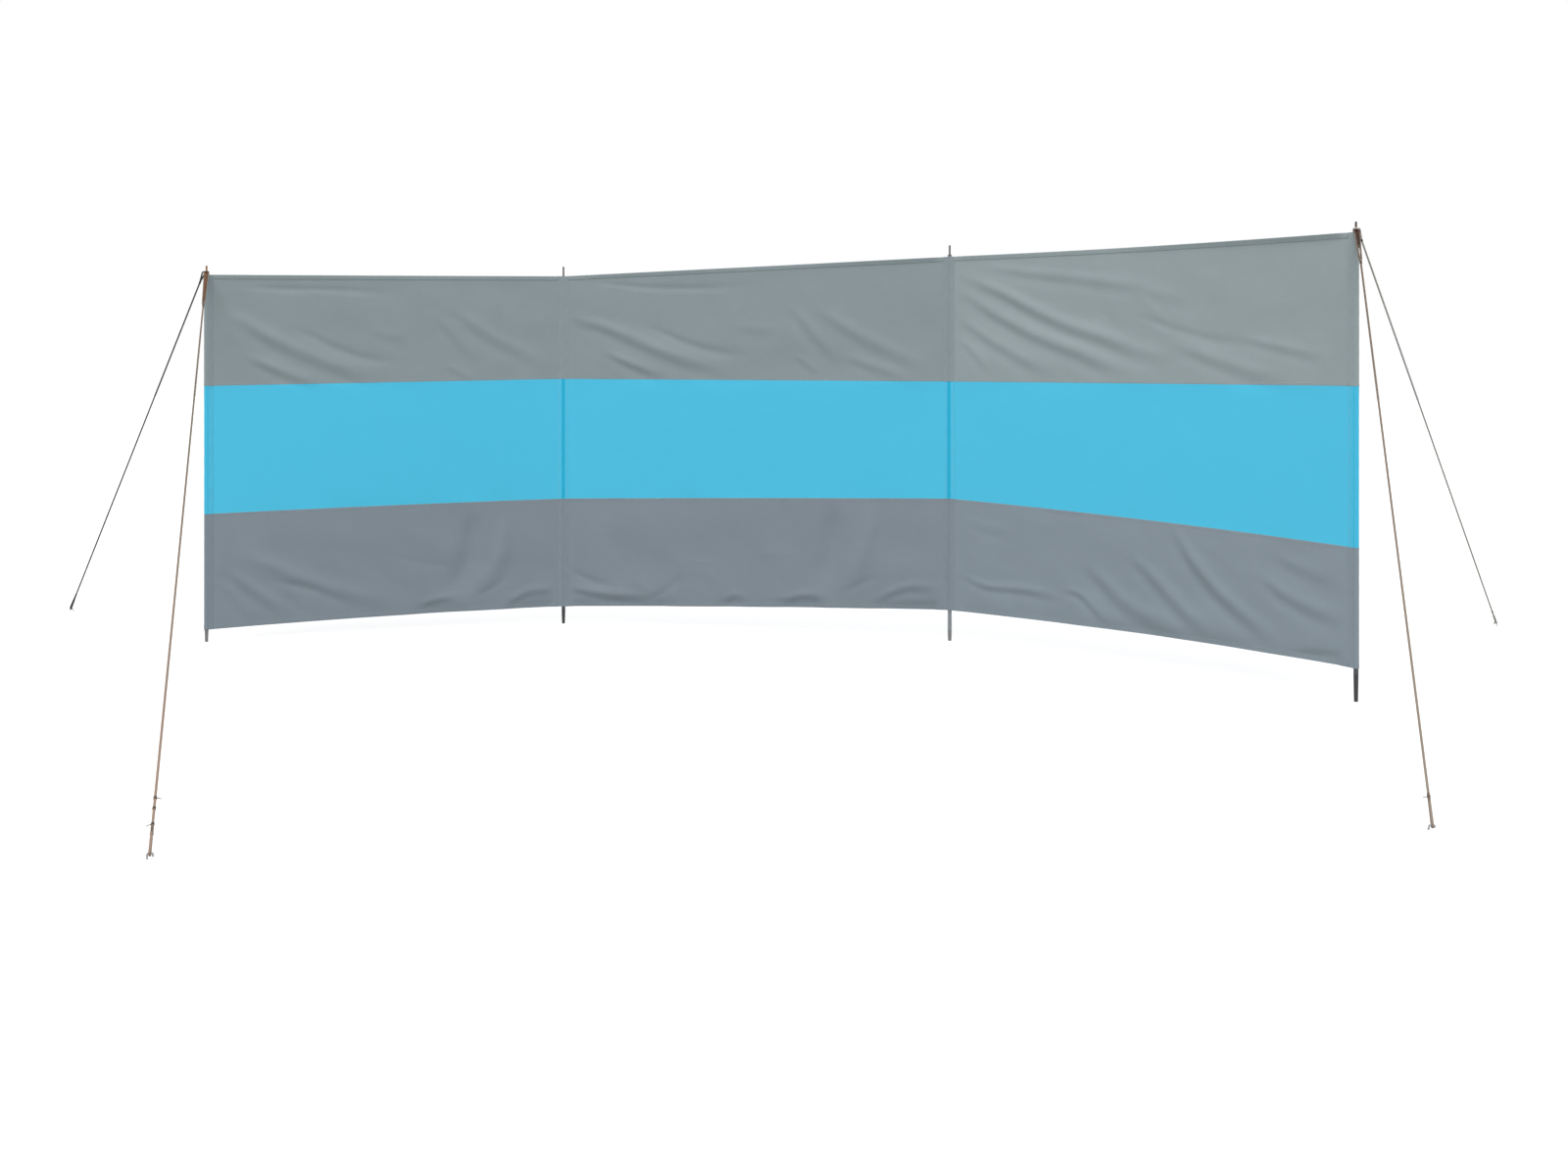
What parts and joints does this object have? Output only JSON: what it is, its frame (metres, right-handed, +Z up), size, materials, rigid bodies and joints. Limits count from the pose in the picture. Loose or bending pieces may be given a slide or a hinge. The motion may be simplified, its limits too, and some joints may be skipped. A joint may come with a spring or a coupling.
{
  "type": "beach windbreak",
  "caption": "Beach windbreak with bays of grey and blue striped cloth sleeved over steel poles, its wings angled forward, guyed front and back at each end with spliced ropes and wire pegs.",
  "frame": {"origin": "middle of the foot of the inner left pole, level with the ground", "axes": "+X along the middle bay to the inner right pole, +Y away from the sheltered side, +Z up"},
  "size_m": [6.0751, 4.1805, 1.567],
  "materials": {
    "grey_cloth": "plain woven grey windbreak cloth, matt, with seams and hems",
    "blue_cloth": "plain woven sky blue windbreak cloth, matt",
    "pole_steel": "thin steel tube with grey paint",
    "pin_steel": "dark steel plug and pin, browned by salt",
    "spike_plastic": "near black moulded ground spike, matt",
    "guy_rope": "braided brown orange rope with a dark fleck",
    "peg_wire": "bent steel wire, zinc plated"
  },
  "bodies": {
    "root": {"lower_strip_left_bay": "grey_cloth", "blue_strip_left_bay": "blue_cloth", "upper_strip_left_bay": "grey_cloth", "lower_strip_middle_bay": "grey_cloth", "blue_strip_middle_bay": "blue_cloth", "upper_strip_middle_bay": "grey_cloth", "lower_strip_right_bay": "grey_cloth", "blue_strip_right_bay": "blue_cloth", "upper_strip_right_bay": "grey_cloth", "lower_sleeve_left_end": "grey_cloth", "blue_sleeve_left_end": "blue_cloth", "upper_sleeve_left_end": "grey_cloth", "pole_tube_left_end": "pole_steel", "pole_spike_left_end": "spike_plastic", "pole_pin_left_end": "pin_steel", "lower_sleeve_left_inner": "grey_cloth", "blue_sleeve_left_inner": "blue_cloth", "upper_sleeve_left_inner": "grey_cloth", "pole_tube_left_inner": "pole_steel", "pole_spike_left_inner": "spike_plastic", "pole_pin_left_inner": "pin_steel", "lower_sleeve_right_inner": "grey_cloth", "blue_sleeve_right_inner": "blue_cloth", "upper_sleeve_right_inner": "grey_cloth", "pole_tube_right_inner": "pole_steel", "pole_spike_right_inner": "spike_plastic", "pole_pin_right_inner": "pin_steel", "lower_sleeve_right_end": "grey_cloth", "blue_sleeve_right_end": "blue_cloth", "upper_sleeve_right_end": "grey_cloth", "pole_tube_right_end": "pole_steel", "pole_spike_right_end": "spike_plastic", "pole_pin_right_end": "pin_steel", "guy_front_left": "guy_rope", "peg_front_left": "peg_wire", "guy_back_left": "guy_rope", "peg_back_left": "peg_wire", "guy_front_right": "guy_rope", "peg_front_right": "peg_wire", "guy_back_right": "guy_rope", "peg_back_right": "peg_wire"}
  },
  "joints": []
}
